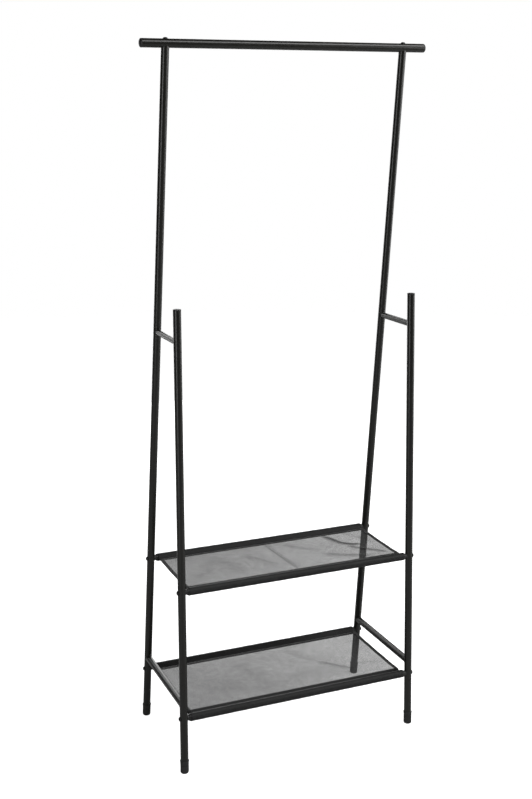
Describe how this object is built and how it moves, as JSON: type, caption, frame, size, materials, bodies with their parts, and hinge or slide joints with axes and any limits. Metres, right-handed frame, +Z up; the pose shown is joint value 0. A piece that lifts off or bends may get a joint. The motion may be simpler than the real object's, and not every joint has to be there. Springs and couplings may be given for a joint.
{
  "type": "garment stand",
  "caption": "Free-standing black tubular garment stand with a hang rail on two leaning side frames and two mesh fabric shelves.",
  "frame": {"origin": "on the floor, midway between the four feet", "axes": "+X along the hang rail, -Y towards the front (short legs), +Z up"},
  "size_m": [0.655, 0.2947, 1.5536],
  "materials": {
    "frame_black": "satin black powder coat on steel tube",
    "cap_black": "moulded black end caps and plugs, fine texture",
    "bolt_black": "black oxide button-head bolts",
    "plug_steel": "plain zinc-plated steel, hidden inside the tubes",
    "end_plug_black": "moulded black nylon end plugs with a threaded core",
    "bush_black": "moulded black bushes",
    "foot_rubber": "soft black push-on foot caps",
    "mesh_fabric": "open black polyester mesh, semi-transparent",
    "hem_fabric": "the same mesh doubled round the tube and stitched",
    "binding_tape": "woven black edge binding tape, stitched"
  },
  "bodies": {
    "root": {"hang_rail": "frame_black", "rail_cap_left": "cap_black", "rail_cap_right": "cap_black", "rail_bolts": "bolt_black", "rail_plugs": "plug_steel", "upper_post_left": "frame_black", "upper_post_right": "frame_black", "post_spigot_left": "plug_steel", "post_spigot_right": "plug_steel", "long_leg_left": "frame_black", "long_leg_right": "frame_black", "short_leg_left": "frame_black", "short_leg_right": "frame_black", "leg_plug_left": "cap_black", "leg_plug_right": "cap_black", "spacer_left": "frame_black", "spacer_right": "frame_black", "brace_left": "frame_black", "brace_right": "frame_black", "foot_front_left": "foot_rubber", "foot_front_right": "foot_rubber", "foot_rear_left": "foot_rubber", "foot_rear_right": "foot_rubber", "mid_front_tube": "frame_black", "mid_rear_tube": "frame_black", "low_front_tube": "frame_black", "low_rear_tube": "frame_black", "mid_tube_plugs": "end_plug_black", "low_tube_plugs": "end_plug_black", "mid_bushes": "bush_black", "low_bushes": "bush_black", "mid_bolts_left": "bolt_black", "mid_bolts_right": "bolt_black", "low_bolts_left": "bolt_black", "low_bolts_right": "bolt_black", "mid_mesh": "mesh_fabric", "mid_sleeve_front": "hem_fabric", "mid_sleeve_rear": "hem_fabric", "mid_binding_left": "binding_tape", "mid_binding_right": "binding_tape", "low_mesh": "mesh_fabric", "low_sleeve_front": "hem_fabric", "low_sleeve_rear": "hem_fabric", "low_binding_left": "binding_tape", "low_binding_right": "binding_tape"}
  },
  "joints": []
}
